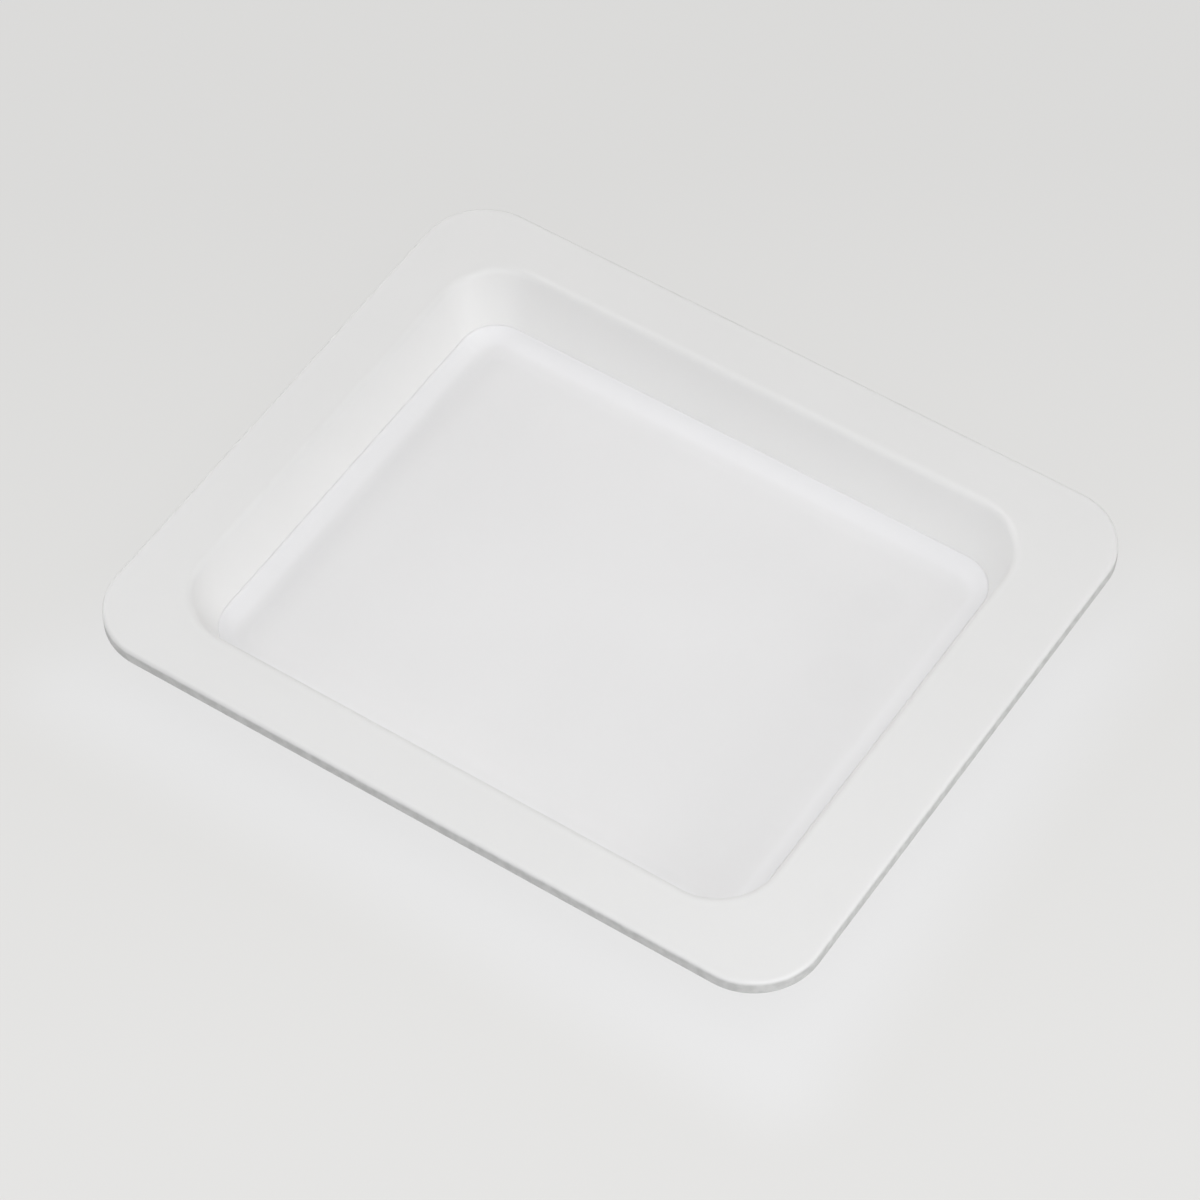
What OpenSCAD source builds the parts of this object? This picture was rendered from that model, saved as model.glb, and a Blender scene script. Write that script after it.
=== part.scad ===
// Wet palette tray with its sponge pad and palette paper.
// Millimetres. +Z is up, +X runs along the long side, the front long side faces -Y.
// The origin is on the surface that the tray stands on, under the middle of its outline.

/* [Tray] */
// Length of the tray over its brim
tray_l = 216; // [185:1:260]
// Width of the tray over its brim
tray_w = 178; // [150:1:215]
// Height of the tray from its base to the top of the brim
tray_h = 25; // [20:0.5:32]
// Thickness of the plastic
skin = 1.6; // [1.2:0.1:2]

/* [Brim] */
// Width of the flat brim along the front, the back and the left end
brim_w = 15; // [12:0.5:24]
// Width of the flat brim at the right end, which is wider
brim_end_w = 20; // [12:0.5:26]
// Radius of the brim's outer corners, seen from above
brim_corner_r = 19; // [12:0.5:24]
// Radius of the edge where the brim turns down
brim_edge_r = 1.2; // [0.6:0.1:1.8]
// Height of the turned-down edge, from the top of the brim
edge_h = 4.1; // [3:0.1:7]

/* [Well] */
// Radius of the well's corners at the brim, seen from above
well_corner_r = 19.5; // [16:0.5:26]
// Radius of the lip where the brim rolls down into the well
lip_r = 2.6; // [2.2:0.1:4]
// Lean of the well's walls from upright, in degrees
wall_draft = 20; // [12:1:24]
// Radius of the hollow at the foot of the walls
foot_r = 6; // [3:0.5:7.5]

/* [Sponge] */
// Thickness of the sponge pad
sponge_t = 3.2; // [2:0.1:5]
// Room between the sponge and the hollow at the foot of the walls
sponge_gap = 0.5; // [0.3:0.1:3]

/* [Palette paper] */
// Thickness of the palette paper
paper_t = 0.2; // [0.1:0.05:0.5]
// Room between the paper's edge and the walls
paper_gap = 0.8; // [0.4:0.1:3]

/* [Hidden] */

ARC_STEPS = 9;
$fn = 96;

// The well's opening, where the flat brim ends and the lip starts to roll.
well_l = tray_l - brim_w - brim_end_w;
well_w = tray_w - 2 * brim_w;
well_x = (brim_w - brim_end_w) / 2;

// The wall turns through this angle, from the flat brim to its steepest.
turn = 90 - wall_draft;
floor_z = skin;
lip_end_z = tray_h - lip_r * (1 - cos(turn));
foot_end_z = floor_z + foot_r * (1 - cos(turn));
wall_run = (lip_end_z - foot_end_z) * tan(wall_draft);

// Distances out from the centre of a well corner: to the flat floor's edge, and to the top of the foot.
floor_r = well_corner_r - (lip_r + foot_r) * sin(turn) - wall_run;
foot_end_r = floor_r + foot_r * sin(turn);

// How far the well's inner face stands from its corner's centre, at height z.
function face_r(z) = z >= foot_end_z
    ? foot_end_r + (z - foot_end_z) * tan(wall_draft)
    : floor_r + sqrt(pow(foot_r, 2) - pow(floor_z + foot_r - z, 2));

// The sponge lies on the flat floor, and the paper on the sponge.
sponge_inset = well_corner_r - floor_r + sponge_gap;
paper_z = floor_z + sponge_t;
paper_inset = well_corner_r - face_r(paper_z) + paper_gap;

// Points of an arc round [x, z], from angle a0 to a1.
function arc(x, z, r, a0, a1) = [
    for (i = [0 : ARC_STEPS])
        let (a = a0 + (a1 - a0) * i / ARC_STEPS) [x + r * cos(a), z + r * sin(a)]
];

// A flat rectangle with round corners.
module round_rect(l, w, r) {
    square([l - 2 * r, w], center = true);
    square([l, w - 2 * r], center = true);
    for (x = [-1, 1], y = [-1, 1])
        translate([x * (l / 2 - r), y * (w / 2 - r)]) circle(r = r);
}

// Sweeps an upright profile once round a rectangle with corners of radius r.
// The profile's x counts outwards from the corner's centre, and its y is the height.
module sweep_round(l, w, r) {
    for (k = [0 : 3]) {
        half_across = (k % 2 == 0 ? l : w) / 2 - r;
        half_along = (k % 2 == 0 ? w : l) / 2 - r;
        rotate([0, 0, 90 * k]) {
            translate([half_across, 0, 0]) rotate([90, 0, 0])
                linear_extrude(height = 2 * half_along, center = true) children();
            translate([half_across, half_along, 0])
                rotate_extrude(angle = 90) children();
        }
    }
}

// Half section of the brim: flat on top, rounded over and turned down at the edge.
module brim_profile() {
    inner_r = brim_corner_r - skin;
    polygon(concat(
        [[0, tray_h - skin], [0, tray_h]],
        arc(brim_corner_r - brim_edge_r, tray_h - brim_edge_r, brim_edge_r, 90, 0),
        [[brim_corner_r, tray_h - edge_h], [inner_r, tray_h - edge_h], [inner_r, tray_h - skin]]
    ));
}

// Section of the well: rolled lip, leaning wall and hollow foot, the same thickness all the way.
module well_profile() {
    lip_z = tray_h - lip_r;
    foot_z = floor_z + foot_r;
    polygon(concat(
        arc(well_corner_r, lip_z, lip_r, 90, 90 + turn),
        arc(floor_r, foot_z, foot_r, turn - 90, -90),
        arc(floor_r, foot_z, foot_r + skin, -90, turn - 90),
        arc(well_corner_r, lip_z, lip_r - skin, 90 + turn, 90)
    ));
}

module brim() {
    difference() {
        union() {
            sweep_round(tray_l, tray_w, brim_corner_r) brim_profile();
            translate([0, 0, tray_h - skin]) linear_extrude(height = skin)
                square([tray_l - 2 * brim_corner_r, tray_w - 2 * brim_corner_r], center = true);
        }
        translate([well_x, 0, 0]) linear_extrude(height = 2 * tray_h)
            round_rect(well_l, well_w, well_corner_r);
    }
}

module well() {
    floor_inset = well_corner_r - floor_r;
    translate([well_x, 0, 0]) {
        sweep_round(well_l, well_w, well_corner_r) well_profile();
        linear_extrude(height = skin)
            round_rect(well_l - 2 * floor_inset, well_w - 2 * floor_inset, floor_r);
    }
}

module tray() {
    color("white") {
        brim();
        well();
    }
}

// A flat sheet that fills the well up to an inset from its opening.
module well_sheet(inset, thickness) {
    translate([well_x, 0, 0]) linear_extrude(height = thickness)
        round_rect(well_l - 2 * inset, well_w - 2 * inset, well_corner_r - inset);
}

module sponge() {
    color("lemonchiffon") translate([0, 0, floor_z]) well_sheet(sponge_inset, sponge_t);
}

module paper() {
    color("ivory") translate([0, 0, paper_z]) well_sheet(paper_inset, paper_t);
}

tray();
sponge();
paper();
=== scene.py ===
"""A wet palette: a moulded tray, the sponge pad in its well and the palette paper on the sponge.

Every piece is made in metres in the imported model's own frame. +Z is up, +X runs along the tray's
long side, the front long side faces -Y, and the tray stands on z = 0.
"""

import math

import bpy
from bpy.props import FloatProperty, FloatVectorProperty, IntProperty, PointerProperty
from mathutils import Matrix, Vector, noise


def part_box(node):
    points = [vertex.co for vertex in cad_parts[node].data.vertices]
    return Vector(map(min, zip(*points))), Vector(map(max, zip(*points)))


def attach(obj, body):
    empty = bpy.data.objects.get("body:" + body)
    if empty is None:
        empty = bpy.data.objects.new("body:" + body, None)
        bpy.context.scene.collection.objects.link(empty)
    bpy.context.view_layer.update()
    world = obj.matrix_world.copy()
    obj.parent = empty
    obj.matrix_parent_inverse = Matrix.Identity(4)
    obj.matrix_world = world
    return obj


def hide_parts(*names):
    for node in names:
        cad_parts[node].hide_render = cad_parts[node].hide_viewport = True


bl_info = {
    "name": "Wet palette",
    "version": (1, 0, 0),
    "blender": (4, 5, 0),
    "location": "View3D > Sidebar > Wet palette",
    "description": "Makes a wet palette's tray, sponge pad and palette paper, and a plain stage",
    "category": "Object",
}

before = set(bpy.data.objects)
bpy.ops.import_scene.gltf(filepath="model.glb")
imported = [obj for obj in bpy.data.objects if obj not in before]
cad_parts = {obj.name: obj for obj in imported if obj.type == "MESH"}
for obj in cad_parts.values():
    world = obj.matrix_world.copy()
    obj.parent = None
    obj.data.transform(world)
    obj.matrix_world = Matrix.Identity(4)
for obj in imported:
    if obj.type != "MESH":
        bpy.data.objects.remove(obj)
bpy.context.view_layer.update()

TRAY_LOW, TRAY_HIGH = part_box("tray")
SPONGE_LOW, SPONGE_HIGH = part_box("sponge")
PAPER_LOW, PAPER_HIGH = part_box("paper")
TRAY_SIZE = TRAY_HIGH - TRAY_LOW
SPONGE_SIZE = SPONGE_HIGH - SPONGE_LOW
WELL_X = (SPONGE_LOW.x + SPONGE_HIGH.x) / 2


# ------------------------ sizes and finishes


def length(name, description, default):
    """A property that holds a length in metres."""
    return FloatProperty(name=name, description=description, default=default, unit="LENGTH")


def degrees(name, description, default):
    """A property that holds an angle. Its default is given in degrees."""
    return FloatProperty(
        name=name, description=description, default=math.radians(default), subtype="ANGLE"
    )


def portion(name, description, default):
    """A property that holds a share of something."""
    return FloatProperty(name=name, description=description, default=default, subtype="FACTOR")


def paint(name, description, default):
    """A property that holds a colour."""
    return FloatVectorProperty(
        name=name, description=description, default=default, subtype="COLOR"
    )


class TraySizes(bpy.types.PropertyGroup):
    """Sizes of the moulded tray."""

    skin: length("Skin", "Thickness of the plastic", SPONGE_LOW.z - TRAY_LOW.z)
    brim: length("Brim", "Width of the flat brim on the front, the back and the left", 0.015)
    end_brim: length("End brim", "Width of the flat brim at the right end", 0.020)
    brim_corner: length("Brim corner", "Radius of the brim's corners, seen from above", 0.019)
    edge_radius: length("Edge radius", "Radius where the brim turns down", 0.0012)
    edge_height: length("Edge height", "Height of the turned-down edge", 0.0041)
    well_corner: length(
        "Well corner", "Radius of the well's corners at the brim, seen from above", 0.0195
    )
    lip_radius: length("Lip radius", "Radius where the brim rolls down into the well", 0.0026)
    wall_lean: degrees("Wall lean", "How far the well's walls lean from upright", 20)
    foot_radius: length("Foot radius", "Radius of the hollow at the foot of the walls", 0.006)
    flat: length("Flat", "Length of the short flats beside the rounded corners", 0.0004)
    cut_bevel: length("Cut bevel", "Width of the softened corners of the trimmed edge", 0.00025)
    corner_steps: IntProperty(
        name="Corner steps",
        description="Faces round each corner",
        default=28,
    )
    round_steps: IntProperty(
        name="Round steps",
        description="Faces round each lip, foot and edge",
        default=9,
    )
    # Painted shade on the brim fades out over this depth down the well's walls.
    handled_depth: length(
        "Handled depth", "How far down the well's walls the brim's duller tone fades out", 0.008
    )


class SpongeSizes(bpy.types.PropertyGroup):
    """Sizes of the sponge pad's surface."""

    pitch: length("Pitch", "Distance between the points that carry the open surface", 0.0011)
    edge_radius: length("Edge radius", "Radius of the worn corner along the pad's edges", 0.0005)
    pore_width: length("Pore width", "Distance from one large pore to the next", 0.0032)
    pore_depth: length("Pore depth", "Depth of the large pores", 0.00045)


class PaperSizes(bpy.types.PropertyGroup):
    """Sizes of the palette paper and the curl of its margins."""

    flat_inset: length(
        "Flat inset", "Distance from the well's opening to where the paper curls up", 0.01637
    )
    off_centre: length(
        "Off centre", "How far the paper lies to the left of the well's middle", 0.0007
    )
    margin: length("Margin", "Width of the curled-up margin, along the paper", 0.00915)
    curl_angle: degrees("Curl angle", "Slope of the paper at its free edge", 41.4)
    left_curl_angle: degrees(
        "Left curl angle", "Slope of the paper at its left edge, where the wall is nearer", 62.1
    )
    deckle: portion("Deckle", "Thickness of the margins, as a share of the sheet's", 0.25)
    # Reach of the painted light that lightens the sheet towards its sides.
    damp_reach: length(
        "Damp reach", "Distance in from the sheet's sides over which it gets damper", 0.038
    )
    fold_depth: length("Fold depth", "Depth of the crease at the foot of the left margin", 0.00004)
    fold_width: length("Fold width", "Width of the crease at the foot of the left margin", 0.0011)
    wave_height: length("Wave height", "Height of the slack waves in the damp sheet", 0.00018)
    wave_length: length("Wave length", "Distance from one wave to the next", 0.036)
    pitch: length("Pitch", "Distance between the sheet's points where it is flat", 0.0018)


class Finishes(bpy.types.PropertyGroup):
    """Colours of the three pieces and the table."""

    plastic: paint("Plastic", "White of the tray", (0.859, 0.854, 0.847))
    # Painted shade: the grey that darkens the tray's turned-down edge.
    scuffed_edge: paint("Scuffed edge", "Grey of the tray's trimmed edge", (0.585, 0.585, 0.58))
    foam: paint("Foam", "Pale yellow of the sponge pad", (0.83, 0.77, 0.55))
    paper: paint("Paper", "Off-white of the damp palette paper", (0.756, 0.749, 0.74))
    # Painted light: the lighter colour that the paper's sides and curled margins get.
    dry_paper: paint(
        "Dry paper",
        "White of the paper's margins, which stand clear of the water and dry first",
        (0.826, 0.821, 0.829),
    )
    table: paint("Table", "Pale grey of the table", (0.752, 0.748, 0.739))


class StageSizes(bpy.types.PropertyGroup):
    """The softboxes' size and power, and how much the sky and the table glow."""

    softbox_width: length("Softbox width", "Side of each square softbox", 0.6)
    power_share: portion("Power", "Share of each softbox's own power that it gives", 1.0)
    horizon_glow: FloatProperty(
        name="Horizon glow",
        description="Strength of the light from just above the horizon",
        default=0.03,
    )
    table_glow: portion("Table glow", "Share of the table's colour that is seen unlit", 0.93)


# ------------------------ node trees


# Points that are nearer to each other than this are merged.
WELD = 0.000002


def new_group(name, kind, inputs, outputs):
    """Makes a node group with the named sockets, and returns it with its two ends.

    inputs and outputs give each sort of value with the names of its sockets.
    """
    group = bpy.data.node_groups.new(name, kind)
    for direction, sockets in (("INPUT", inputs), ("OUTPUT", outputs)):
        for sort, labels in sockets.items():
            for label in labels:
                group.interface.new_socket(
                    label, in_out=direction, socket_type=f"NodeSocket{sort}"
                )
    return group, group.nodes.new("NodeGroupInput"), group.nodes.new("NodeGroupOutput")


def add(tree, kind, inputs=None, **settings):
    """Adds a node. An input that is given a socket is linked, and any other value is set."""
    node = tree.nodes.new(kind)
    for name, value in settings.items():
        setattr(node, name, value)
    for name, value in (inputs or {}).items():
        connect(tree, node.inputs[name], value)
    return node


def connect(tree, socket, value):
    """Links a socket to another one, or sets its value."""
    if isinstance(value, bpy.types.NodeSocket):
        tree.links.new(value, socket)
    else:
        socket.default_value = value


def calc(tree, operation, *values):
    """One step of arithmetic in a node tree. Returns its result."""
    node = add(tree, "ShaderNodeMath", dict(enumerate(values)), operation=operation)
    return node.outputs["Value"]


def xyz(tree, x, y, z):
    """A vector in a node tree."""
    return add(tree, "ShaderNodeCombineXYZ", {"X": x, "Y": y, "Z": z}).outputs["Vector"]


def pick(tree, index, data_type, values):
    """The value in the list that the index names."""
    node = tree.nodes.new("GeometryNodeIndexSwitch")
    node.data_type = data_type
    while len(node.index_switch_items) < len(values):
        node.index_switch_items.new()
    connect(tree, node.inputs["Index"], index)
    for number, value in enumerate(values):
        connect(tree, node.inputs[str(number)], value)
    return node.outputs["Output"]


def set_input(modifier, name, value):
    """Sets a Geometry Nodes modifier's input by the identifier of the socket with that name."""
    socket = modifier.node_group.interface.items_tree[name]
    modifier[socket.identifier] = value


# The tray's sizes that shape its outline and its section, by the names of their sockets.
OUTLINE_SIZES = ("Brim", "End Brim", "Brim Corner")
SECTION_SIZES = (
    "Skin",
    "Edge Height",
    "Edge Radius",
    "Well Corner",
    "Lip Radius",
    "Wall Lean",
    "Foot Radius",
    "Flat",
)


def section_group():
    """Geometry group: the tray's top face in section at its right end, from the edge to the floor.

    Each of its corners is a point with the radius that rounds it off. Short flats beside the
    rounded corners keep the shading of the brim and the floor level.
    """
    group, given, result = new_group(
        "Tray section",
        "GeometryNodeTree",
        {"Float": ("Edge X", "Opening X", "Height", *SECTION_SIZES), "Int": ("Round Steps",)},
        {"Geometry": ("Curve",)},
    )
    size = given.outputs
    flat = size["Flat"]
    top = size["Height"]
    edge_x = size["Edge X"]
    opening_x = size["Opening X"]
    half_turn = calc(group, "MULTIPLY_ADD", size["Wall Lean"], -0.5, math.pi / 4)
    tangent = calc(group, "TANGENT", half_turn)
    depth = calc(group, "SUBTRACT", top, size["Skin"])
    lip_run = calc(group, "MULTIPLY", size["Lip Radius"], tangent)
    lip_x = calc(group, "SUBTRACT", opening_x, lip_run)
    wall_run = calc(group, "MULTIPLY", depth, calc(group, "TANGENT", size["Wall Lean"]))
    foot_x = calc(group, "SUBTRACT", lip_x, wall_run)
    foot_run = calc(group, "MULTIPLY", size["Foot Radius"], tangent)
    floor_x = calc(group, "SUBTRACT", foot_x, foot_run)
    centre_x = calc(group, "SUBTRACT", opening_x, size["Well Corner"])
    edge_low = calc(group, "SUBTRACT", top, size["Edge Height"])
    round_end = calc(group, "SUBTRACT", edge_x, size["Edge Radius"])
    points = [
        (edge_x, edge_low, 0.0),
        (edge_x, calc(group, "ADD", edge_low, flat), 0.0),
        (edge_x, top, size["Edge Radius"]),
        (calc(group, "SUBTRACT", round_end, flat), top, 0.0),
        (calc(group, "ADD", opening_x, flat), top, 0.0),
        (lip_x, top, size["Lip Radius"]),
        (foot_x, size["Skin"], size["Foot Radius"]),
        (calc(group, "SUBTRACT", floor_x, flat), size["Skin"], 0.0),
        (centre_x, size["Skin"], 0.0),
    ]
    index = add(group, "GeometryNodeInputIndex").outputs["Index"]
    places = [xyz(group, x, 0.0, z) for x, z, _ in points]
    line = add(group, "GeometryNodeMeshLine", {"Count": len(points)})
    placed = add(
        group,
        "GeometryNodeSetPosition",
        {"Geometry": line.outputs["Mesh"], "Position": pick(group, index, "VECTOR", places)},
    )
    curve = add(group, "GeometryNodeMeshToCurve", {"Mesh": placed.outputs["Geometry"]})
    rounded = add(
        group,
        "GeometryNodeFilletCurve",
        {
            "Curve": curve.outputs["Curve"],
            "Count": size["Round Steps"],
            "Radius": pick(group, index, "FLOAT", [radius for _, _, radius in points]),
        },
        mode="POLY",
    )
    connect(group, result.inputs["Curve"], rounded.outputs["Curve"])
    return group


def sweep_group():
    """Geometry group: sweeps a section once round two rectangles with round corners.

    The part of the section beyond Split X goes round the outer rectangle, and the rest round the
    inner one, so the two may have different corners and different middles.
    """
    group, given, result = new_group(
        "Round sweep",
        "GeometryNodeTree",
        {
            "Geometry": ("Section",),
            "Float": (
                "Split X",
                "Outer Half Length",
                "Outer Half Width",
                "Outer Corner",
                "Inner Half Length",
                "Inner Half Width",
                "Inner Corner",
                "Inner X",
            ),
            "Int": ("Corner Steps",),
        },
        {"Geometry": ("Mesh",)},
    )
    size = given.outputs
    section = size["Section"]
    steps = size["Corner Steps"]
    count = add(
        group, "GeometryNodeAttributeDomainSize", {"Geometry": section}, component="CURVE"
    )
    points = count.outputs["Point Count"]
    per_corner = calc(group, "ADD", steps, 1.0)
    around = calc(group, "MULTIPLY_ADD", per_corner, 4.0, 1.0)
    grid = add(group, "GeometryNodeMeshGrid", {"Vertices X": around, "Vertices Y": points})
    index = add(group, "GeometryNodeInputIndex").outputs["Index"]
    row = calc(group, "MODULO", index, points)
    column = calc(group, "FLOOR", calc(group, "DIVIDE", index, points))
    corner = calc(group, "FLOOR", calc(group, "DIVIDE", column, per_corner))
    step = calc(group, "MODULO", column, per_corner)
    quarter_turns = calc(group, "ADD", corner, calc(group, "DIVIDE", step, steps))
    angle = calc(group, "MULTIPLY", quarter_turns, math.pi / 2)
    diagonal = calc(group, "MULTIPLY_ADD", corner, math.pi / 2, math.pi / 4)
    side_x = calc(group, "SIGN", calc(group, "COSINE", diagonal))
    side_y = calc(group, "SIGN", calc(group, "SINE", diagonal))
    sampled = add(
        group,
        "GeometryNodeSampleIndex",
        {
            "Geometry": section,
            "Value": add(group, "GeometryNodeInputPosition").outputs["Position"],
            "Index": row,
        },
        data_type="FLOAT_VECTOR",
        domain="POINT",
    )
    place = add(group, "ShaderNodeSeparateXYZ", {"Vector": sampled.outputs["Value"]}).outputs
    outer = add(
        group,
        "FunctionNodeCompare",
        {"A": place["X"], "B": size["Split X"]},
        operation="GREATER_THAN",
        data_type="FLOAT",
    )

    def outer_or_inner(outer_value, inner_value):
        """One value beyond Split X, and the other one inside it."""
        switch = add(
            group,
            "GeometryNodeSwitch",
            {"Switch": outer.outputs["Result"], "False": inner_value, "True": outer_value},
            input_type="FLOAT",
        )
        return switch.outputs["Output"]

    half_x = outer_or_inner(
        calc(group, "SUBTRACT", size["Outer Half Length"], size["Outer Corner"]),
        calc(group, "SUBTRACT", size["Inner Half Length"], size["Inner Corner"]),
    )
    half_y = outer_or_inner(
        calc(group, "SUBTRACT", size["Outer Half Width"], size["Outer Corner"]),
        calc(group, "SUBTRACT", size["Inner Half Width"], size["Inner Corner"]),
    )
    middle = outer_or_inner(0.0, size["Inner X"])
    radius = calc(group, "SUBTRACT", place["X"], calc(group, "ADD", middle, half_x))
    corner_x = calc(group, "MULTIPLY_ADD", side_x, half_x, middle)
    corner_y = calc(group, "MULTIPLY", side_y, half_y)
    x = calc(group, "MULTIPLY_ADD", calc(group, "COSINE", angle), radius, corner_x)
    y = calc(group, "MULTIPLY_ADD", calc(group, "SINE", angle), radius, corner_y)
    moved = add(
        group,
        "GeometryNodeSetPosition",
        {"Geometry": grid.outputs["Mesh"], "Position": xyz(group, x, y, place["Z"])},
    )
    connect(group, result.inputs["Mesh"], moved.outputs["Geometry"])
    return group


def tray_tree():
    """Geometry Nodes tree of the tray's top face: its section swept round, and mid floor."""
    tree, given, result = new_group(
        "Tray",
        "GeometryNodeTree",
        {
            "Float": ("Length", "Width", "Height", *OUTLINE_SIZES, *SECTION_SIZES),
            "Int": ("Corner Steps", "Round Steps"),
            "Material": ("Material",),
        },
        {"Geometry": ("Geometry",)},
    )
    size = given.outputs
    half_length = calc(tree, "MULTIPLY", size["Length"], 0.5)
    half_width = calc(tree, "MULTIPLY", size["Width"], 0.5)
    opening_x = calc(tree, "SUBTRACT", half_length, size["End Brim"])
    both_brims = calc(tree, "ADD", size["Brim"], size["End Brim"])
    well_half_length = calc(tree, "MULTIPLY_ADD", both_brims, -0.5, half_length)
    well_half_width = calc(tree, "SUBTRACT", half_width, size["Brim"])
    well_x = calc(tree, "SUBTRACT", opening_x, well_half_length)

    section_sizes = {name: size[name] for name in ("Height", *SECTION_SIZES, "Round Steps")}
    section = add(
        tree,
        "GeometryNodeGroup",
        {"Edge X": half_length, "Opening X": opening_x, **section_sizes},
        node_tree=section_group(),
    )
    sweep = add(
        tree,
        "GeometryNodeGroup",
        {
            "Section": section.outputs["Curve"],
            "Split X": calc(tree, "MULTIPLY_ADD", size["Flat"], 2.0, opening_x),
            "Outer Half Length": half_length,
            "Outer Half Width": half_width,
            "Outer Corner": size["Brim Corner"],
            "Inner Half Length": well_half_length,
            "Inner Half Width": well_half_width,
            "Inner Corner": size["Well Corner"],
            "Inner X": well_x,
            "Corner Steps": size["Corner Steps"],
        },
        node_tree=sweep_group(),
    )

    less_corners = calc(tree, "MULTIPLY", size["Well Corner"], -2.0)
    middle = add(
        tree,
        "GeometryNodeMeshGrid",
        {
            "Size X": calc(tree, "MULTIPLY_ADD", well_half_length, 2.0, less_corners),
            "Size Y": calc(tree, "MULTIPLY_ADD", well_half_width, 2.0, less_corners),
            "Vertices X": 2,
            "Vertices Y": 2,
        },
    )
    lowered = add(
        tree,
        "GeometryNodeTransform",
        {
            "Geometry": middle.outputs["Mesh"],
            "Translation": xyz(tree, well_x, 0.0, size["Skin"]),
        },
    )
    joined = add(tree, "GeometryNodeJoinGeometry", {"Geometry": sweep.outputs["Mesh"]})
    connect(tree, joined.inputs["Geometry"], lowered.outputs["Geometry"])
    geometry = joined.outputs["Geometry"]
    for kind, settings in (
        ("MergeByDistance", {"Distance": WELD}),
        ("SetShadeSmooth", {}),
        ("RealizeInstances", {}),
        ("SetMaterial", {"Material": size["Material"]}),
    ):
        node = add(tree, "GeometryNode" + kind, {"Geometry": geometry, **settings})
        geometry = node.outputs["Geometry"]
    connect(tree, result.inputs["Geometry"], geometry)
    return tree


# ------------------------ materials


def texture_place(tree):
    """The point of the surface, in the piece's own metres."""
    return add(tree, "ShaderNodeTexCoord").outputs["Object"]


def vector_calc(tree, operation, *values, output="Vector"):
    """One step of vector arithmetic. Returns its result."""
    node = add(tree, "ShaderNodeVectorMath", dict(enumerate(values)), operation=operation)
    return node.outputs[output]


def measure(tree, operation, *values):
    """One step of vector arithmetic that gives a number."""
    return vector_calc(tree, operation, *values, output="Value")


def ramp(tree, value, start, end, low=0.0, high=1.0, smooth=True):
    """A value that goes from low to high while another goes from start to end."""
    node = add(
        tree,
        "ShaderNodeMapRange",
        {"Value": value, "From Min": start, "From Max": end, "To Min": low, "To Max": high},
        interpolation_type="SMOOTHSTEP" if smooth else "LINEAR",
    )
    return node.outputs["Result"]


# Values of the noise between which a light patch turns to a dark one.
PATCH_EDGE = (0.32, 0.68)


def mottling_group():
    """Shader group: soft patches between two colours, with the mask that mixes them."""
    if "Mottling" in bpy.data.node_groups:
        return bpy.data.node_groups["Mottling"]
    group, given, result = new_group(
        "Mottling",
        "ShaderNodeTree",
        {"Color": ("Light", "Dark"), "Float": ("Patches per Metre", "Detail")},
        {"Color": ("Colour",), "Float": ("Mask",)},
    )
    patches = add(
        group,
        "ShaderNodeTexNoise",
        {
            "Vector": texture_place(group),
            "Scale": given.outputs["Patches per Metre"],
            "Detail": given.outputs["Detail"],
        },
    )
    mask = ramp(group, patches.outputs["Fac"], *PATCH_EDGE)
    mixed = mix_colours(group, mask, given.outputs["Light"], given.outputs["Dark"])
    connect(group, result.inputs["Colour"], mixed)
    connect(group, result.inputs["Mask"], mask)
    return group


def grain_group():
    """Shader group: a fine raised grain, which may be stretched along one way, as a normal."""
    if "Grain" in bpy.data.node_groups:
        return bpy.data.node_groups["Grain"]
    group, given, result = new_group(
        "Grain",
        "ShaderNodeTree",
        {"Vector": ("Grains per Metre",), "Float": ("Detail", "Strength", "Depth")},
        {"Vector": ("Normal",)},
    )
    scaled = vector_calc(
        group, "MULTIPLY", texture_place(group), given.outputs["Grains per Metre"]
    )
    grain = add(
        group,
        "ShaderNodeTexNoise",
        {"Vector": scaled, "Scale": 1.0, "Detail": given.outputs["Detail"]},
    )
    bump = add(
        group,
        "ShaderNodeBump",
        {
            "Strength": given.outputs["Strength"],
            "Distance": given.outputs["Depth"],
            "Height": grain.outputs["Fac"],
        },
    )
    connect(group, result.inputs["Normal"], bump.outputs["Normal"])
    return group


def mottled(tree, colour, dark_share, per_metre, detail):
    """Places the mottling of a colour with a darker share of itself. Returns its outputs."""
    values = {
        "Light": rgba(colour),
        "Dark": rgba(colour, dark_share),
        "Patches per Metre": per_metre,
        "Detail": detail,
    }
    return add(tree, "ShaderNodeGroup", values, node_tree=mottling_group()).outputs


def grained(tree, per_metre, detail, strength, depth):
    """Places the grain. Returns its normal."""
    values = {
        "Grains per Metre": per_metre,
        "Detail": detail,
        "Strength": strength,
        "Depth": depth,
    }
    node = add(tree, "ShaderNodeGroup", values, node_tree=grain_group())
    return node.outputs["Normal"]


def new_material(name):
    """A new material and its Principled shader."""
    material = bpy.data.materials.new(name)
    material.use_nodes = True
    return material, material.node_tree.nodes["Principled BSDF"]


def shade(tree, shader, colour, roughness, normal):
    """Gives the Principled shader its colour, roughness and normal."""
    connect(tree, shader.inputs["Base Color"], colour)
    connect(tree, shader.inputs["Roughness"], roughness)
    connect(tree, shader.inputs["Normal"], normal)


def rgba(colour, share=1.0):
    """A colour times a share, with its alpha."""
    return (*(channel * share for channel in colour), 1.0)


def attribute(tree, name):
    """The value of one of the mesh's own attributes."""
    return add(tree, "ShaderNodeAttribute", attribute_name=name).outputs["Fac"]


# Places of the Mix node's colour sockets, whose names its other sockets have too.
MIX_FIRST = 6
MIX_SECOND = 7
MIX_RESULT = 2


def mix_colours(tree, factor, first, second, blend="MIX"):
    """A mix of two colours."""
    node = add(
        tree,
        "ShaderNodeMix",
        {"Factor": factor, MIX_FIRST: first, MIX_SECOND: second},
        data_type="RGBA",
        blend_type=blend,
    )
    return node.outputs[MIX_RESULT]


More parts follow.
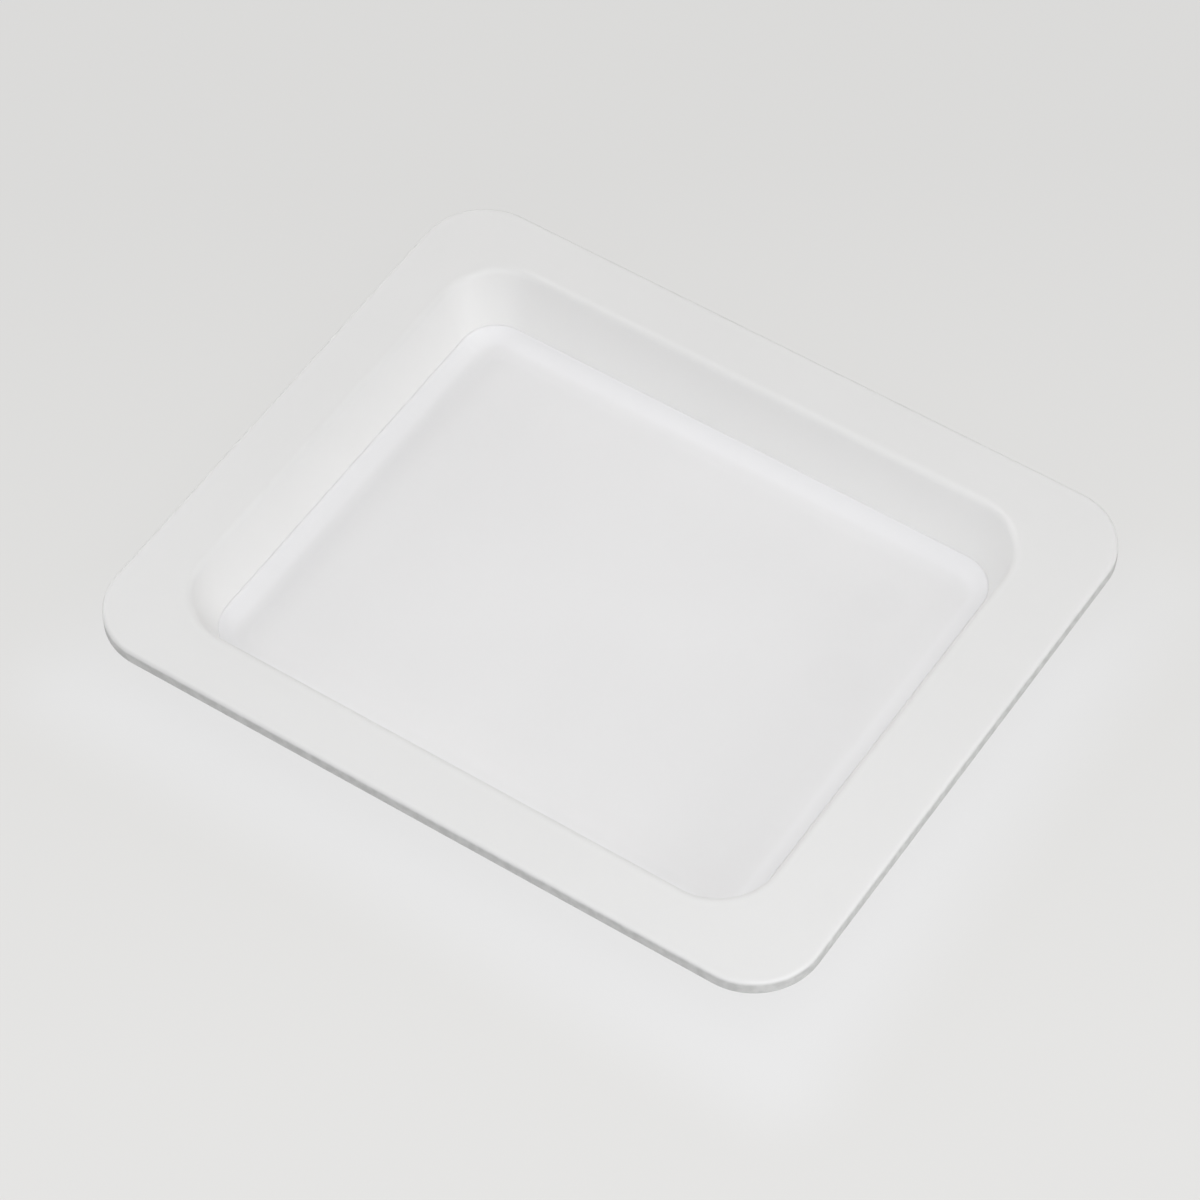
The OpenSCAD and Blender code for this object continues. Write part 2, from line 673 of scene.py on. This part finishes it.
def mix_shaders(tree, factor, first, second):
    """A mix of two shaders."""
    node = add(tree, "ShaderNodeMixShader", {0: factor, 1: first, 2: second})
    return node.outputs["Shader"]


# How much of the plastic's brightness is left on the brim: painted shade that keeps the brim
# darker than the well's walls.
BRIM_SHADE = (0.892, 0.892, 0.894)

# Roughness of the plastic's clear and dull patches, and what its trimmed edge adds.
PLASTIC_ROUGHNESS = (0.34, 0.40)
EDGE_ROUGHNESS = 0.25


def plastic_material(colour, edge_shade_colour):
    """White moulded plastic with a soft gloss, with painted shade on its brim and painted grey
    shade on its edge.
    """
    material, shader = new_material("Tray plastic")
    tree = material.node_tree
    clouds = mottled(tree, colour, dark_share=0.985, per_metre=24.0, detail=2.0)
    edge_shades = mottled(tree, edge_shade_colour, dark_share=0.86, per_metre=380.0, detail=4.0)
    normal = grained(
        tree, per_metre=(420.0, 420.0, 420.0), detail=2.0, strength=0.25, depth=0.00003
    )
    edge = attribute(tree, "edge")
    brim_shade = mix_colours(
        tree, attribute(tree, "brim_shade"), clouds["Colour"], rgba(BRIM_SHADE), "MULTIPLY"
    )
    edge_colour = mix_colours(tree, edge, brim_shade, edge_shades["Colour"])
    dull = ramp(tree, clouds["Mask"], 0.0, 1.0, *PLASTIC_ROUGHNESS, smooth=False)
    roughness = calc(tree, "MULTIPLY_ADD", edge, EDGE_ROUGHNESS, dull)
    shade(tree, shader, edge_colour, roughness, normal)
    return material


# The foam's fine pores: how many to a metre, how much of its colour is left inside them as painted
# shade, and how far from their middles, in pore widths, their walls start and end.
FINE_PORES_PER_METRE = 1150.0
FINE_PORE_PAINTED_SHADE = 0.62
FINE_PORE_WALL = (0.12, 0.5)


def foam_material(colour):
    """Pale open-cell foam: fine pores with painted shade inside, on a soft mottled face."""
    material, shader = new_material("Sponge foam")
    tree = material.node_tree
    pores = add(
        tree,
        "ShaderNodeTexVoronoi",
        {"Vector": texture_place(tree), "Scale": FINE_PORES_PER_METRE},
    )
    wall = ramp(tree, pores.outputs["Distance"], *FINE_PORE_WALL)
    clouds = mottled(tree, colour, dark_share=0.93, per_metre=60.0, detail=4.0)
    shaded = mix_colours(tree, wall, rgba(colour, FINE_PORE_PAINTED_SHADE), clouds["Colour"])
    bump = add(tree, "ShaderNodeBump", {"Strength": 0.7, "Distance": 0.00035, "Height": wall})
    shade(tree, shader, shaded, 0.95, bump.outputs["Normal"])
    shader.inputs["Specular IOR Level"].default_value = 0.2
    return material


# Dried drips of water on the paper: their middles and radii.
DRIPS = (
    (Vector((0.0557, 0.0430, PAPER_HIGH.z)), 0.0085),
    (Vector((0.0600, 0.0150, PAPER_HIGH.z)), 0.0110),
)

# A drip's mark fades out between these shares of its radius.
DRIP_FADE = (0.55, 1.0)

# It is weaker inside these shares of its radius, and this strong at its middle.
DRIP_HOLLOW = (0.1, 0.75)
DRIP_MIDDLE = 0.7

# How strong the marks are at most, and how much of the paper's colour is left under a full one.
DRIP_STRENGTH = 0.75
DRIP_SHADE = 0.955

# Roughness of the paper's plain and dampest patches, and what is added where painted light lifts
# its colour.
PAPER_ROUGHNESS = (0.36, 0.28)
LIFT_ROUGHNESS = 0.06


def stain(tree, place, centre, radius):
    """Mask of a dried drip: a soft round patch with a stronger rim."""
    reach = calc(tree, "DIVIDE", measure(tree, "DISTANCE", place, centre), radius)
    patch = ramp(tree, reach, *DRIP_FADE, 1.0, 0.0)
    middle = ramp(tree, reach, *DRIP_HOLLOW, DRIP_MIDDLE, 1.0)
    return calc(tree, "MULTIPLY", patch, middle)


def paper_material(damp_colour, painted_light_colour):
    """Palette paper: damp and off-white, with painted light that lightens it towards its sides and
    on its curled margins.
    """
    material, shader = new_material("Palette paper")
    tree = material.node_tree
    damp = mottled(tree, damp_colour, dark_share=0.985, per_metre=22.0, detail=3.0)
    normal = grained(
        tree, per_metre=(900.0, 2600.0, 900.0), detail=3.0, strength=0.3, depth=0.00004
    )
    place = texture_place(tree)
    drips = [stain(tree, place, centre, radius) for centre, radius in DRIPS]
    marks = calc(tree, "MULTIPLY", calc(tree, "MAXIMUM", *drips), DRIP_STRENGTH)
    wet_colour = mix_colours(tree, marks, damp["Colour"], rgba(damp_colour, DRIP_SHADE))
    painted_lift = attribute(tree, "painted_lift")
    colour = mix_colours(tree, painted_lift, wet_colour, rgba(painted_light_colour))
    sheen = ramp(tree, damp["Mask"], 0.0, 1.0, *PAPER_ROUGHNESS, smooth=False)
    roughness = calc(tree, "MULTIPLY_ADD", painted_lift, LIFT_ROUGHNESS, sheen)
    shade(tree, shader, colour, roughness, normal)
    return material


# Painted light: the table's colour gets a little lighter this way, like a pool of light, between
# these places and these shares.
TABLE_PAINTED_LIGHT_WAY = Vector((0.58, -0.81, 0.0))
TABLE_LIGHT_FADE = (-0.16, 0.13)
TABLE_LIGHT_SHARES = (0.95, 1.043)

# Painted light: how much lighter the table is right beside the tray's near edges, how far out that
# reaches, and where it comes in along TABLE_PAINTED_LIGHT_WAY.
BOUNCE = (1.053, 1.058, 1.073)
BOUNCE_REACH = 0.03
BOUNCE_START = (-0.03, 0.02)


def bounce(tree, place, along):
    """Painted bounce light: 1 on the table right beside the tray's near edges, fading to 0 further
    out.
    """
    past = vector_calc(tree, "SUBTRACT", vector_calc(tree, "ABSOLUTE", place), TRAY_SIZE / 2)
    outside = vector_calc(tree, "MAXIMUM", past, Vector((0.0, 0.0, 0.0)))
    close = ramp(tree, measure(tree, "LENGTH", outside), 0.0, BOUNCE_REACH, 1.0, 0.0)
    near_side = ramp(tree, along, *BOUNCE_START, smooth=False)
    return calc(tree, "MULTIPLY", close, near_side)


def table_material(colour, glow):
    """A pale table that keeps its own colour to the camera and still takes the tray's shadow.

    Painted light lightens it towards the front right and right beside the tray's near edges.
    """
    material, shader = new_material("Table")
    tree = material.node_tree
    tree.nodes.remove(shader)
    place = texture_place(tree)
    along = measure(tree, "DOT_PRODUCT", place, TABLE_PAINTED_LIGHT_WAY)
    painted_table_light = ramp(tree, along, *TABLE_LIGHT_FADE, smooth=False)
    shades = [rgba(colour, share) for share in TABLE_LIGHT_SHARES]
    plain_top = mix_colours(tree, painted_table_light, *shades)
    top = mix_colours(tree, bounce(tree, place, along), plain_top, rgba(BOUNCE), "MULTIPLY")
    lit = add(tree, "ShaderNodeBsdfDiffuse", {"Color": top})
    plain = add(tree, "ShaderNodeEmission", {"Color": top, "Strength": 1.0})
    ray = add(tree, "ShaderNodeLightPath").outputs
    seen = calc(tree, "MAXIMUM", ray["Is Camera Ray"], ray["Is Glossy Ray"])
    seen = calc(tree, "MAXIMUM", seen, ray["Is Transmission Ray"])
    unlit_share = calc(tree, "MULTIPLY", seen, glow)
    mixed = mix_shaders(tree, unlit_share, lit.outputs["BSDF"], plain.outputs["Emission"])
    connect(tree, tree.nodes["Material Output"].inputs["Surface"], mixed)
    return material


# ------------------------ meshes


def clamp(value):
    """The value, kept between 0 and 1."""
    return min(1.0, max(0.0, value))


def link_object(name, mesh):
    """A new object at the origin that shows a mesh."""
    obj = bpy.data.objects.new(name, mesh)
    bpy.context.scene.collection.objects.link(obj)
    return obj


def bake(obj):
    """Replaces the object's mesh with the plain mesh that its modifiers make of it."""
    evaluated = obj.evaluated_get(bpy.context.evaluated_depsgraph_get())
    mesh = bpy.data.meshes.new_from_object(evaluated)
    obj.modifiers.clear()
    obj.data = mesh
    mesh.name = obj.name


def ring_lines(half, corner, rings, pitch):
    """Grid lines across a rectangle with round corners, as (place on the core, ring number).

    The core is the rectangle inside the corners' centres. Ring numbers count outwards from it, and
    are negative on the low side.
    """
    core = half - corner
    count = max(1, round(2 * core / pitch))
    last = len(rings) - 1
    low = [(-core, -ring) for ring in range(last, 0, -1)]
    across = [(-core + 2 * core * i / count, 0) for i in range(count + 1)]
    high = [(core, ring) for ring in range(1, last + 1)]
    return low + across + high


def ring_way(ring_x, ring_y):
    """The way out of the core at a pair of ring numbers, and the ring there.

    In the corners the square of grid lines is bent into a quarter of a disc, with even angles.
    """
    reach_x = abs(ring_x)
    reach_y = abs(ring_y)
    ring = max(reach_x, reach_y)
    if ring == 0:
        return Vector((0.0, 0.0)), 0
    if reach_y <= reach_x:
        angle = math.pi / 4 * reach_y / reach_x
    else:
        angle = math.pi / 2 - math.pi / 4 * reach_x / reach_y
    way = Vector((math.copysign(math.cos(angle), ring_x), math.copysign(math.sin(angle), ring_y)))
    return way, ring


def round_grid(half_x, half_y, corner, rings, pitch):
    """A grid that fills a rectangle with round corners.

    rings are the distances out from the core, from 0 to the edge. Returns each point as (place on
    the core, way out of it, distance out), and the quads between the points.
    """
    lines_x = ring_lines(half_x, corner, rings, pitch)
    lines_y = ring_lines(half_y, corner, rings, pitch)
    points = []
    for core_x, ring_x in lines_x:
        for core_y, ring_y in lines_y:
            way, ring = ring_way(ring_x, ring_y)
            points.append((Vector((core_x, core_y)), way, rings[ring]))
    rows = len(lines_y)
    quads = []
    for i in range(len(lines_x) - 1):
        for j in range(rows - 1):
            first = i * rows + j
            quads.append((first, first + rows, first + rows + 1, first + 1))
    return points, quads


def set_attribute(mesh, name, values):
    """Stores one value for each of the mesh's points."""
    layer = mesh.attributes.new(name, "FLOAT", "POINT")
    layer.data.foreach_set("value", values)


def outline_inset(x, y, half_x, half_y, corner):
    """How far a point lies inside a rectangle with round corners."""
    past_x = max(0.0, abs(x) - (half_x - corner))
    past_y = max(0.0, abs(y) - (half_y - corner))
    return corner - math.hypot(past_x, past_y)


def even_steps(start, end, count):
    """count + 1 evenly spaced values from start to end."""
    return [start + (end - start) * i / count for i in range(count + 1)]


# ------------------------ pieces


# How far below the brim the painted shade on its edge starts, in edge radii, at the far and the
# near edges, and over how many more radii it comes in.
FAR_EDGE_SHADE = 0.8
NEAR_EDGE_SHADE = 0.25
EDGE_SHADE_FADE = 0.5

# How fast the far edges' painted shade turns to the near edges', across the tray.
EDGE_SHADE_TURN = 0.75

# Share of the lip's radius, down from the brim, that keeps the brim's painted shade in full.
BRIM_SHADE_LIP = 0.2


def make_tray(sizes, material):
    """The tray: one moulded skin that makes the brim, its turned-down edge and the well."""
    tray = link_object("tray_moulding", bpy.data.meshes.new("tray_moulding"))
    shape = tray.modifiers.new("Shape", "NODES")
    shape.node_group = tray_tree()
    set_input(shape, "Length", TRAY_SIZE.x)
    set_input(shape, "Width", TRAY_SIZE.y)
    set_input(shape, "Height", TRAY_HIGH.z)
    set_input(shape, "Material", material)
    for name in (*OUTLINE_SIZES, *SECTION_SIZES, "Corner Steps", "Round Steps"):
        set_input(shape, name, getattr(sizes, name.lower().replace(" ", "_")))
    wall = tray.modifiers.new("Skin", "SOLIDIFY")
    wall.thickness = sizes.skin
    wall.offset = -1.0
    wall.use_even_offset = True
    trim = tray.modifiers.new("Trimmed edge", "BEVEL")
    trim.width = sizes.cut_bevel
    trim.segments = 2
    trim.limit_method = "ANGLE"
    trim.angle_limit = math.radians(60)
    bake(tray)

    half_x = TRAY_SIZE.x / 2
    half_y = TRAY_SIZE.y / 2

    def scuffing(point):
        """1 on the turned-down edge and 0 on the brim: painted grey shade. It reaches further up
        the near edges.
        """
        inset = outline_inset(point.x, point.y, half_x, half_y, sizes.brim_corner)
        below_top = TRAY_HIGH.z - point.z
        if inset > 2 * sizes.skin or below_top > 2 * sizes.edge_height:
            return 0.0
        nearness = clamp(0.5 + EDGE_SHADE_TURN * (point.x / half_x - point.y / half_y))
        start = FAR_EDGE_SHADE + (NEAR_EDGE_SHADE - FAR_EDGE_SHADE) * nearness
        return clamp((below_top / sizes.edge_radius - start) / EDGE_SHADE_FADE)

    def handling(point):
        """Painted shade: 1 on the brim, fading to 0 down the walls of the well."""
        below_lip = TRAY_HIGH.z - point.z - BRIM_SHADE_LIP * sizes.lip_radius
        return 1.0 - clamp(below_lip / sizes.handled_depth)

    set_attribute(tray.data, "brim_shade", [handling(vertex.co) for vertex in tray.data.vertices])
    set_attribute(tray.data, "edge", [scuffing(vertex.co) for vertex in tray.data.vertices])
    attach(tray, "tray")
    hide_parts("tray")


# Radius of a large pore as a share of the distance between pores, and how steeply it deepens.
PORE_RADIUS = 0.55
PORE_STEEPNESS = 1.5

# Rings of faces at the pad's corners: on its flat faces, round its worn edges and down its sides.
SPONGE_FLAT_RINGS = 4
SPONGE_EDGE_RINGS = 3
SPONGE_SIDE_RINGS = 2


def make_sponge(sizes, tray_sizes, material):
    """The sponge pad: an open-cell slab that fills the well's floor."""
    half_x = SPONGE_SIZE.x / 2
    half_y = SPONGE_SIZE.y / 2
    half_z = SPONGE_SIZE.z / 2
    well_half_y = TRAY_SIZE.y / 2 - tray_sizes.brim
    corner = tray_sizes.well_corner - (well_half_y - half_y)
    middle = Vector((WELL_X, 0.0, SPONGE_LOW.z + half_z))
    radius = sizes.edge_radius
    flat_end = corner - radius
    round_end = flat_end + radius * math.pi / 2
    side_end = round_end + half_z - radius

    def rim(distance):
        """How far out and how far up from mid-height a ring of the pad lies."""
        if distance <= flat_end:
            return distance, half_z
        if distance <= round_end:
            angle = (distance - flat_end) / radius
            return flat_end + radius * math.sin(angle), half_z - radius * (1 - math.cos(angle))
        return corner, half_z - radius - (distance - round_end)

    def pit(point):
        """Depth of the pore at a point."""
        nearest = noise.voronoi(point / sizes.pore_width)[0]
        bowl = max(0.0, 1.0 - nearest[0] / PORE_RADIUS)
        return sizes.pore_depth * bowl ** PORE_STEEPNESS

    def place(up, core, way, distance):
        """A point of the pad's upper or lower face, let in by its pore."""
        out, height = rim(distance)
        flat = core + way * out
        point = middle + Vector((flat.x, flat.y, up * height))
        slope = clamp((distance - flat_end) / (round_end - flat_end))
        outward = Vector((way.x * slope, way.y * slope, up * (1.0 - slope)))
        at_seam = distance >= side_end
        return point - outward * (0.0 if at_seam else pit(point))

    rings = even_steps(0.0, flat_end, SPONGE_FLAT_RINGS)
    rings += even_steps(flat_end, round_end, SPONGE_EDGE_RINGS)[1:]
    rings += even_steps(round_end, side_end, SPONGE_SIDE_RINGS)[1:]
    grid, quads = round_grid(half_x, half_y, corner, rings, sizes.pitch)
    top = [place(1.0, *point) for point in grid]
    low = [place(-1.0, *point) for point in grid]
    quads += [tuple(i + len(top) for i in reversed(quad)) for quad in quads]
    mesh = bpy.data.meshes.new("sponge_pad")
    mesh.from_pydata(top + low, [], quads)
    mesh.materials.append(material)
    sponge = link_object("sponge_pad", mesh)
    weld = sponge.modifiers.new("Weld", "WELD")
    weld.merge_threshold = WELD
    bake(sponge)
    sponge.data.shade_smooth()
    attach(sponge, "sponge")
    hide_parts("sponge")


# How soon round a left corner the long margin's curl turns into the left margin's.
CORNER_BLEND = 0.85

# How far the crease strays to either side, and the distance from one bend of it to the next.
CREASE_STRAY = 0.0005
CREASE_BEND = 0.011

# Shares of the margins' width over which the painted light comes in, and the sheet thins to its
# deckle.
LIFT_SHARE = 0.4
THINNING_SHARE = 0.25

# Painted light at the sheet's sides, which fades inwards.
SIDE_LIFT = 0.95

# Rings of faces at the sheet's corners: on its flat middle and across its margins.
PAPER_FLAT_RINGS = 8
PAPER_MARGIN_RINGS = 14


def make_paper(sizes, tray_sizes, material):
    """The palette paper: a damp sheet that lies on the sponge and curls up along the walls."""
    well_half_x = (TRAY_SIZE.x - tray_sizes.brim - tray_sizes.end_brim) / 2
    well_half_y = TRAY_SIZE.y / 2 - tray_sizes.brim
    half_x = well_half_x + sizes.off_centre - sizes.flat_inset + sizes.margin
    half_y = well_half_y - sizes.flat_inset + sizes.margin
    flat_corner = tray_sizes.well_corner - sizes.flat_inset
    corner = flat_corner + sizes.margin
    middle_x = WELL_X - sizes.off_centre

    def wave(flat):
        """Height of the slack at a point of the sheet."""
        spot = Vector((flat.x, flat.y, 0.0)) / sizes.wave_length
        return sizes.wave_height * (0.5 + 0.5 * noise.noise(spot))

    def place(core, way, distance):
        """A point of the sheet's face, laid down and curled up."""
        flat = core + way * distance
        leftward = max(0.0, -way.x) ** CORNER_BLEND
        stray = CREASE_STRAY * noise.noise(Vector((flat.x, flat.y, 0.0)) / CREASE_BEND)
        past_fold = distance - flat_corner
        angle_at_edge = sizes.curl_angle + leftward * (sizes.left_curl_angle - sizes.curl_angle)
        radius = sizes.margin / angle_at_edge
        angle = max(0.0, past_fold) / radius
        out = min(distance, flat_corner) + radius * math.sin(angle)
        rise = radius * (1 - math.cos(angle))
        crease = max(0.0, 1.0 - abs(past_fold + stray) / sizes.fold_width)
        dip = leftward * sizes.fold_depth * crease * crease * (3 - 2 * crease)
        bent = core + way * out
        slack = wave(flat) * max(0.0, 1.0 - max(0.0, past_fold) / sizes.margin)
        return Vector((middle_x + bent.x, bent.y, PAPER_HIGH.z + slack + rise - dip))

    rings = even_steps(0.0, flat_corner, PAPER_FLAT_RINGS)
    rings += even_steps(flat_corner, corner, PAPER_MARGIN_RINGS)[1:]
    grid, quads = round_grid(half_x, half_y, corner, rings, sizes.pitch)
    mesh = bpy.data.meshes.new("palette_sheet")
    mesh.from_pydata([place(*point) for point in grid], [], quads)
    mesh.materials.append(material)

    def dryness(core, way, distance):
        """Painted light: 0 in the middle of the sheet, more towards its sides, and 1 on its
        margins.
        """
        flat = core + way * distance
        from_side = outline_inset(flat.x, flat.y, half_x, half_y, corner)
        edge_share = clamp((distance - flat_corner) / (LIFT_SHARE * sizes.margin))
        side_share = SIDE_LIFT * max(0.0, 1.0 - from_side / sizes.damp_reach)
        return max(edge_share, side_share)

    set_attribute(mesh, "painted_lift", [dryness(*point) for point in grid])
    paper = link_object("palette_sheet", mesh)
    full = paper.vertex_groups.new(name="full_thickness")
    for index, (_, _, distance) in enumerate(grid):
        thinned = clamp((distance - flat_corner) / (THINNING_SHARE * sizes.margin))
        full.add([index], 1.0 - thinned, "REPLACE")
    body = paper.modifiers.new("Thickness", "SOLIDIFY")
    body.thickness = PAPER_HIGH.z - PAPER_LOW.z
    body.offset = -1.0
    body.vertex_group = full.name
    body.thickness_vertex_group = sizes.deckle
    bake(paper)
    paper.vertex_groups.clear()
    paper.data.shade_smooth()
    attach(paper, "paper")
    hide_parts("paper")


# ------------------------ stage


# Where the camera stands, in degrees round and up from its target, its roll and its lens.
CAMERA_AZIMUTH = -54.48
CAMERA_ELEVATION = 53.06
CAMERA_ROLL = math.radians(-2.07)
CAMERA_DISTANCE = 5.7857 * TRAY_SIZE.x
CAMERA_TARGET = Vector((0.0119 * TRAY_SIZE.x, -0.0422 * TRAY_SIZE.x, TRAY_HIGH.z))
CAMERA_LENS = 145.17
CAMERA_SENSOR = 36.0


def way_to(azimuth, elevation):
    """The way to something at an azimuth from +X and an elevation, both in degrees."""
    turn = math.radians(azimuth)
    tilt = math.radians(elevation)
    level = math.cos(tilt)
    return Vector((math.cos(turn) * level, math.sin(turn) * level, math.sin(tilt)))


def make_camera():
    """The camera, which looks down on the front right corner, rolled a little."""
    back = way_to(CAMERA_AZIMUTH, CAMERA_ELEVATION)
    right = Vector((-back.y, back.x, 0.0)).normalized()
    up = back.cross(right)
    place = CAMERA_TARGET + back * CAMERA_DISTANCE
    data = bpy.data.cameras.new("Camera")
    data.sensor_fit = "HORIZONTAL"
    data.sensor_width = CAMERA_SENSOR
    data.lens = CAMERA_LENS
    camera = link_object("Camera", data)
    turned = Matrix((right, up, back)).transposed() @ Matrix.Rotation(CAMERA_ROLL, 3, "Z")
    camera.matrix_world = Matrix.Translation(place) @ turned.to_4x4()
    bpy.context.scene.camera = camera


# Tints of the softboxes' light.
PLAIN = (1.0, 1.0, 1.0)
COOL = (0.986, 0.998, 1.016)
WARM = (1.013, 1.005, 0.982)

# Each softbox: its azimuth from +X and its elevation in degrees, its distance in metres, its power
# in watts and its tint.
SOFTBOXES = {
    "Front right softbox": (-45, 55, 0.60, 2.03, COOL),
    "Back right softbox": (45, 55, 0.75, 1.28, WARM),
    "Left softbox": (180, 55, 0.95, 2.44, PLAIN),
    "Low right softbox": (0, 15, 0.95, 3.36, PLAIN),
    "Low front softbox": (-90, 15, 0.95, 2.01, PLAIN),
    "Low back left softbox": (135, 28, 0.95, 1.50, WARM),
    "Low back softbox": (90, 15, 0.95, 0.90, PLAIN),
    "Low left softbox": (180, 15, 0.95, 2.30, PLAIN),
}


def make_lamp(name, azimuth, elevation, distance, power, tint, sizes):
    """A square softbox that faces the tray."""
    way = way_to(azimuth, elevation)
    data = bpy.data.lights.new(name, "AREA")
    data.size = sizes.softbox_width
    data.energy = power * sizes.power_share
    data.color = tint
    lamp = link_object(name, data)
    facing = way.to_track_quat("Z", "Y").to_matrix().to_4x4()
    lamp.matrix_world = Matrix.Translation(way * distance) @ facing


# Sines of the elevations between which the sky's glow fades out.
SKY_FADE = (0.3, 0.55)


def make_world(strength, colour):
    """A sky that glows near the horizon. The camera sees the table's colour in its place."""
    world = bpy.data.worlds.new("Sky")
    world.use_nodes = True
    bpy.context.scene.world = world
    tree = world.node_tree
    way = add(tree, "ShaderNodeTexCoord").outputs["Generated"]
    height = add(tree, "ShaderNodeSeparateXYZ", {"Vector": way}).outputs["Z"]
    glow = tree.nodes["Background"]
    glow.inputs["Color"].default_value = rgba(PLAIN)
    connect(tree, glow.inputs["Strength"], ramp(tree, height, *SKY_FADE, strength, 0.0))
    seen = add(tree, "ShaderNodeBackground", {"Color": rgba(colour), "Strength": 1.0})
    camera_ray = add(tree, "ShaderNodeLightPath").outputs["Is Camera Ray"]
    mixed = mix_shaders(tree, camera_ray, glow.outputs["Background"], seen.outputs["Background"])
    connect(tree, tree.nodes["World Output"].inputs["Surface"], mixed)


# Half the table's width, and the gap that keeps its face apart from the tray's underside.
TABLE_HALF = 3.0
TABLE_GAP = 0.0001


def make_table(material):
    """A wide flat table just under the tray."""
    z = TRAY_LOW.z - TABLE_GAP
    signs = ((-1, -1), (1, -1), (1, 1), (-1, 1))
    corners = [(x * TABLE_HALF, y * TABLE_HALF, z) for x, y in signs]
    mesh = bpy.data.meshes.new("table_top")
    mesh.from_pydata(corners, [], [(0, 1, 2, 3)])
    mesh.materials.append(material)
    link_object("table_top", mesh)


# ------------------------ operators and panel


class WETPALETTE_OT_tray(bpy.types.Operator):
    """Makes the moulded tray"""

    bl_idname = "wet_palette.tray"
    bl_label = "Make tray"

    def execute(self, context):
        scene = context.scene
        finishes = scene.palette_finishes
        material = plastic_material(finishes.plastic, finishes.scuffed_edge)
        make_tray(scene.tray_sizes, material)
        return {"FINISHED"}


class WETPALETTE_OT_sponge(bpy.types.Operator):
    """Makes the sponge pad on the well's floor"""

    bl_idname = "wet_palette.sponge"
    bl_label = "Make sponge"

    def execute(self, context):
        scene = context.scene
        material = foam_material(scene.palette_finishes.foam)
        make_sponge(scene.sponge_sizes, scene.tray_sizes, material)
        return {"FINISHED"}


class WETPALETTE_OT_paper(bpy.types.Operator):
    """Makes the palette paper on the sponge"""

    bl_idname = "wet_palette.paper"
    bl_label = "Make paper"

    def execute(self, context):
        scene = context.scene
        finishes = scene.palette_finishes
        material = paper_material(finishes.paper, finishes.dry_paper)
        make_paper(scene.paper_sizes, scene.tray_sizes, material)
        return {"FINISHED"}


class WETPALETTE_OT_stage(bpy.types.Operator):
    """Makes the table, the lamps, the sky and the camera"""

    bl_idname = "wet_palette.stage"
    bl_label = "Make stage"

    def execute(self, context):
        scene = context.scene
        sizes = scene.stage_sizes
        colour = scene.palette_finishes.table
        scene.view_settings.view_transform = "Standard"
        make_table(table_material(colour, sizes.table_glow))
        make_world(sizes.horizon_glow, colour)
        for name, softbox in SOFTBOXES.items():
            make_lamp(name, *softbox, sizes)
        make_camera()
        return {"FINISHED"}


class WETPALETTE_PT_panel(bpy.types.Panel):
    """Lists the steps that make the wet palette"""

    bl_idname = "WETPALETTE_PT_panel"
    bl_label = "Wet palette"
    bl_space_type = "VIEW_3D"
    bl_region_type = "UI"
    bl_category = "Wet palette"

    def draw(self, context):
        for operator in OPERATORS:
            self.layout.operator(operator.bl_idname)


PROPERTIES = {
    "tray_sizes": TraySizes,
    "sponge_sizes": SpongeSizes,
    "paper_sizes": PaperSizes,
    "palette_finishes": Finishes,
    "stage_sizes": StageSizes,
}
OPERATORS = (
    WETPALETTE_OT_tray,
    WETPALETTE_OT_sponge,
    WETPALETTE_OT_paper,
    WETPALETTE_OT_stage,
)


def register():
    """Adds the properties, the operators and the panel to Blender."""
    for name, group in PROPERTIES.items():
        bpy.utils.register_class(group)
        setattr(bpy.types.Scene, name, PointerProperty(type=group))
    for operator in OPERATORS:
        bpy.utils.register_class(operator)
    bpy.utils.register_class(WETPALETTE_PT_panel)


def unregister():
    """Takes them away again."""
    bpy.utils.unregister_class(WETPALETTE_PT_panel)
    for operator in reversed(OPERATORS):
        bpy.utils.unregister_class(operator)
    for name, group in reversed(PROPERTIES.items()):
        delattr(bpy.types.Scene, name)
        bpy.utils.unregister_class(group)


def main():
    """Makes everything in order."""
    register()
    bpy.ops.wet_palette.tray()
    bpy.ops.wet_palette.sponge()
    bpy.ops.wet_palette.paper()
    bpy.ops.wet_palette.stage()


if __name__ == "__main__":
    main()
